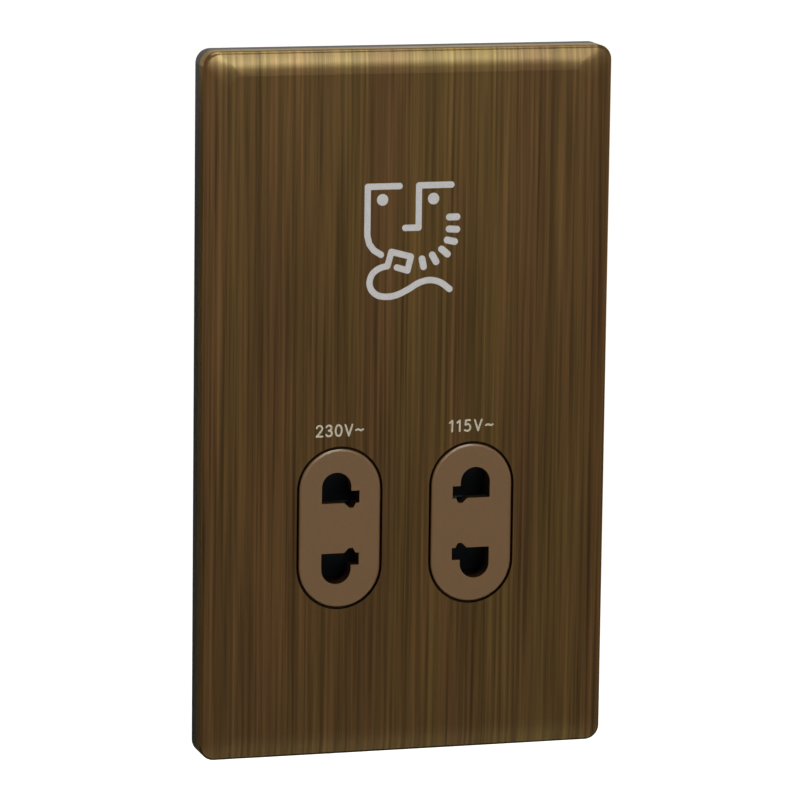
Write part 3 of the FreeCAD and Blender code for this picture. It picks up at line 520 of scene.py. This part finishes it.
def printPiece(name, outlines, finish):
    # thin layers of ink on the face; every other one is a hair thicker, since strokes overlap
    mesh = bpy.data.meshes.new(name)
    shape = bmesh.new()
    for index, outline in enumerate(outlines):
        lower = [shape.verts.new((p[0] * mm, faceLevel, p[1] * mm)) for p in outline]
        result = bmesh.ops.extrude_face_region(shape, geom=[shape.faces.new(lower)])
        raised = [item for item in result["geom"] if isinstance(item, bmesh.types.BMVert)]
        thickness = layer["thickness"] + index % 2 * layer["step"]
        bmesh.ops.translate(shape, verts=raised, vec=(0, -thickness, 0))
    bmesh.ops.triangulate(shape, faces=shape.faces)
    bmesh.ops.recalc_face_normals(shape, faces=shape.faces)
    shape.to_mesh(mesh)
    shape.free()
    mesh.materials.append(finish)
    piece = addObject(name, mesh)
    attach(piece, "socket")


# Shaver sign: a face with a dashed beard, and a shaver on its cord
sign = {
    "stroke": 1.31,
    "faceLine": [(-2.13, 45.02), (-8.83, 45.02), (-8.83, 35.11), (-8.41, 33.31),
                 (-7.47, 32.02), (-5.89, 31.02)],
    "browAndNose": [(8.84, 45.06), (1.98, 45.06), (1.98, 36.4), (-0.84, 36.4)],
    "shaver": [(-4.51, 28.67), (-3.71, 31.57), (0.44, 30.47), (-0.25, 27.63), (-2.53, 28.32)],
    "cord": [(-4.51, 28.67), (-6.19, 28.23), (-7.67, 27.13), (-8.27, 25.34), (-7.77, 23.74),
             (-6.39, 22.64), (-4.31, 22.34), (-2.23, 22.74), (-0.06, 23.74), (2.22, 25.03),
             (4.59, 25.53), (6.86, 24.93), (8.74, 23.54)],
    "eyes": [(-5.69, 42.28), (5.09, 42.28)],
    "eyeRadius": 1.2,
    "beardLength": 3.07,
    "beardStroke": 1.43,
    # middle of each dash and its tilt in degrees
    "beard": [(9.31, 38.39, 0), (9.3, 35.89, -4), (8.88, 33.5, -12), (7.55, 31.31, -40),
              (5.38, 29.98, -60), (2.97, 29.12, -78)],
}


def printSign():
    finish = printedInk("sign ink", ink["sign"])
    stroke = sign["stroke"]
    printPiece("sign_face_line", [strokeOutline(sign["faceLine"], stroke)], finish)
    printPiece("sign_brow_and_nose", [strokeOutline(sign["browAndNose"], stroke)], finish)
    printPiece("sign_shaver_and_cord", [strokeOutline(sign["shaver"], stroke),
                                        strokeOutline(smoothed(sign["cord"]), stroke)], finish)
    printPiece("sign_eyes", [dot(eye, sign["eyeRadius"]) for eye in sign["eyes"]], finish)
    printPiece("sign_beard", [dash(x, z, tilt, sign["beardLength"], sign["beardStroke"])
                              for x, z, tilt in sign["beard"]], finish)


# Voltage figures over the outlets; x is the middle of a line of figures
figures = {
    "height": 2.6,
    "pen": 0.38,
    "centreZ": -4.98,
    "left": {"text": "230V~", "x": -14.2, "width": 10.2},
    "right": {"text": "115V~", "x": 13.83, "width": 9.6},
}

# Each figure's curved and straight strokes, as shares of the figure height
glyphs = {
    "2": {"width": 0.56,
          "curves": [[(0.02, 0.78), (0.1, 0.94), (0.28, 1.0), (0.46, 0.94), (0.54, 0.76),
                      (0.46, 0.54), (0.24, 0.26), (0.02, 0.02)]],
          "lines": [[(0.02, 0.0), (0.56, 0.0)]]},
    "3": {"width": 0.54,
          "curves": [[(0.02, 0.84), (0.12, 0.97), (0.28, 1.0), (0.45, 0.93), (0.5, 0.77),
                      (0.43, 0.6), (0.24, 0.53)],
                     [(0.24, 0.53), (0.45, 0.46), (0.54, 0.29), (0.48, 0.09), (0.27, 0.0),
                      (0.1, 0.03), (0.0, 0.15)]],
          "lines": []},
    "0": {"width": 0.58,
          "curves": [[(0.29, 0.0), (0.1, 0.1), (0.0, 0.5), (0.1, 0.9), (0.29, 1.0)],
                     [(0.29, 1.0), (0.48, 0.9), (0.58, 0.5), (0.48, 0.1), (0.29, 0.0)]],
          "lines": []},
    "1": {"width": 0.3,
          "curves": [],
          "lines": [[(0.0, 0.8), (0.24, 1.0), (0.24, 0.0)]]},
    "5": {"width": 0.54,
          "curves": [[(0.06, 0.57), (0.3, 0.63), (0.47, 0.53), (0.54, 0.32), (0.46, 0.1),
                      (0.26, 0.0), (0.0, 0.07)]],
          "lines": [[(0.5, 1.0), (0.11, 1.0), (0.06, 0.57)]]},
    "V": {"width": 0.66,
          "curves": [],
          "lines": [[(0.0, 1.0), (0.33, 0.0), (0.66, 1.0)]]},
    "~": {"width": 0.66,
          "curves": [[(0.0, 0.47), (0.14, 0.54), (0.26, 0.53), (0.4, 0.47), (0.52, 0.46),
                      (0.66, 0.53)]],
          "lines": []},
}


def printFigures(name, look, finish):
    # heights and widths run between the middles of the pen lines
    height = figures["height"] - figures["pen"]
    full = look["width"] - figures["pen"]
    widths = [glyphs[letter]["width"] * height for letter in look["text"]]
    gap = (full - sum(widths)) / (len(widths) - 1)
    x = look["x"] - full / 2
    low = figures["centreZ"] - height / 2
    outlines = []
    for letter, width in zip(look["text"], widths):
        glyph = glyphs[letter]
        for run in [smoothed(curve) for curve in glyph["curves"]] + glyph["lines"]:
            placed = [(x + px * height, low + pz * height) for px, pz in run]
            outlines.append(strokeOutline(placed, figures["pen"]))
        x += width + gap
    printPiece(name, outlines, finish)


printSign()
figureInk = printedInk("figure ink", ink["figures"])
printFigures("figures_230v", figures["left"], figureInk)
printFigures("figures_115v", figures["right"], figureInk)
print("sign and figures printed")


# Floor, light and camera
studio = {
    "floorLevel": -0.35,
    "floorReach": 14.0,
    "floorShade": colour(236, 236, 234),
    "floorRoughness": 0.9,
    "floorGlow": 0.6,
    "plainLight": 0.55,
    "plainShade": (1.0, 0.9, 0.82, 1.0),
    "beam": 60.0,  # degrees; a grid on each lamp keeps its light off the floor
    "beamGain": 0.165,  # takes back what the narrow beam adds
}

# Lamps, by the degrees that each takes up as the plate sees it; past 90 it is behind the plate
lamps = {
    "key_box": {"low": 10.0, "high": 19.5, "azimuth": 5.0, "spread": 30.0, "distance": 1.6,
                "strength": 15.5, "shade": (0.7, 0.92, 1.0)},
    "upper_box": {"low": 20.0, "high": 62.0, "azimuth": 8.0, "spread": 36.0, "distance": 1.7,
                  "strength": 1.5, "shade": (0.7, 0.92, 1.0)},
    "over_box": {"low": 60.0, "high": 98.0, "azimuth": 0.0, "spread": 40.0, "distance": 1.5,
                 "strength": 9.0, "shade": (0.76, 0.97, 1.0)},
    "rim_box": {"low": 108.0, "high": 138.0, "azimuth": -16.0, "spread": 30.0, "distance": 1.5,
                "strength": 0.8, "shade": (0.82, 0.86, 1.0)},
}

# Cards out of the picture, for what the side walls, the face and the lower edge mirror
cards = {
    "side_flag": {"shade": colour(100, 97, 94), "middle": (-0.2, 0.28, -0.17),
                  "across": (0.36, 0, 0), "along": (0, 0, 0.42)},
    "floor_cloth": {"shade": colour(236, 236, 234), "middle": (0, -1.95, -0.33),
                    "across": (5.0, 0, 0), "along": (0, 3.7, 0), "glowSpan": (-0.3, -3.6)},
    "under_cloth": {"shade": colour(60, 58, 56), "middle": (0, 0.4, -0.32),
                    "across": (2.0, 0, 0), "along": (0, 1.0, 0)},
}


def seenDirectly(tree):
    # 1 for rays from the camera, and for what metal and glass reflect or pass
    path = tree.nodes.new("ShaderNodeLightPath")
    total = path.outputs["Is Camera Ray"]
    for name in ("Is Glossy Ray", "Is Transmission Ray"):
        total = calculated(tree, "MAXIMUM", total, path.outputs[name])
    return total


def setWorld():
    world = bpy.data.worlds.new("studio")
    world.use_nodes = True
    tree = world.node_tree
    background = tree.nodes["Background"]
    seen = seenDirectly(tree)
    tree.links.new(mixed(tree, seen, studio["plainShade"], white), background.inputs["Color"])
    strength = remap(tree, seen, fullSpan, (studio["plainLight"], 1.0))
    tree.links.new(strength, background.inputs["Strength"])
    bpy.context.scene.world = world


def glow(tree, shader, pattern, span):
    # white glow: none at the start of the span, as strong as the floor's at its end
    shader.inputs["Emission Color"].default_value = white
    strength = remap(tree, pattern, span, (0.0, studio["floorGlow"]))
    tree.links.new(strength, shader.inputs["Emission Strength"])


def addSheet(name, corners, material):
    mesh = bpy.data.meshes.new(name)
    mesh.from_pydata([tuple(corner) for corner in corners], [], [(0, 1, 2, 3)])
    mesh.materials.append(material)
    return addObject(name, mesh)


def setFloor():
    material, tree, shader = startFinish("pale floor", studio["floorRoughness"])
    shader.inputs["Base Color"].default_value = studio["floorShade"]
    glow(tree, shader, seenDirectly(tree), fullSpan)
    reach = studio["floorReach"]
    sides = ((-reach, -reach), (reach, -reach), (reach, reach), (-reach, reach))
    floor = addSheet("floor", [(x, y, studio["floorLevel"]) for x, y in sides], material)


def setCard(name):
    look = cards[name]
    material, tree, shader = startFinish(name + " cloth", 1.0, specular=0.0)
    shader.inputs["Base Color"].default_value = look["shade"]
    if "glowSpan" in look:
        glow(tree, shader, alongY(tree, "Object"), look["glowSpan"])
    middle = Vector(look["middle"])
    across = Vector(look["across"]) / 2
    along = Vector(look["along"]) / 2
    card = addSheet(name, [middle - across - along, middle + across - along,
                           middle + across + along, middle - across + along], material)
    card.visible_camera = False
    card.visible_diffuse = False
    card.visible_shadow = False


def setLamp(name):
    look = lamps[name]
    distance = look["distance"]
    height = math.radians((look["low"] + look["high"]) / 2)
    turn = math.radians(look["azimuth"])
    tall = 2 * distance * math.tan(math.radians((look["high"] - look["low"]) / 2))
    wide = 2 * distance * math.tan(math.radians(look["spread"] / 2))
    lamp = bpy.data.lights.new(name, "AREA")
    lamp.shape = "RECTANGLE"
    lamp.size = wide
    lamp.size_y = tall
    lamp.energy = math.pi * wide * tall * look["strength"] * studio["beamGain"]
    lamp.color = look["shade"]
    lamp.spread = math.radians(studio["beam"])
    level = math.cos(height)
    away = Vector((level * math.sin(turn), -level * math.cos(turn), math.sin(height)))
    softbox = addObject(name, lamp)
    softbox.location = away * distance
    softbox.rotation_euler = away.to_track_quat("Z", "Y").to_euler()
    softbox.visible_camera = False


# Angles in degrees from straight in front of the plate, distance in metres
view = {
    "yaw": -16.035,
    "pitch": 10.002,
    "roll": 0.707,
    "distance": 1.0586,
    "sensor": 36,
    "lens": 231.05,
    "shiftX": 0.00472,
    "shiftY": -0.0034,
    "clipEnd": 50,
}


def setCamera():
    yaw, pitch, roll = (math.radians(view[name]) for name in ("yaw", "pitch", "roll"))
    level = math.cos(pitch)
    back = Vector((math.sin(yaw) * level, -math.cos(yaw) * level, math.sin(pitch)))
    right = Vector((math.cos(yaw), math.sin(yaw), 0))
    up = back.cross(right)
    rolledRight = math.cos(roll) * right + math.sin(roll) * up
    rolledUp = math.cos(roll) * up - math.sin(roll) * right
    turned = Matrix((rolledRight, rolledUp, back)).transposed().to_4x4()
    camera = addObject("camera", bpy.data.cameras.new("camera"))
    camera.matrix_world = Matrix.Translation(back * view["distance"]) @ turned
    camera.data.sensor_width = view["sensor"]
    camera.data.lens = view["lens"]
    camera.data.shift_x = view["shiftX"]
    camera.data.shift_y = view["shiftY"]
    camera.data.clip_end = view["clipEnd"]
    bpy.context.scene.camera = camera


setWorld()
setFloor()
for lampName in lamps:
    setLamp(lampName)
for cardName in cards:
    setCard(cardName)
setCamera()
bpy.context.scene.view_settings.view_transform = "Standard"
print("studio set")
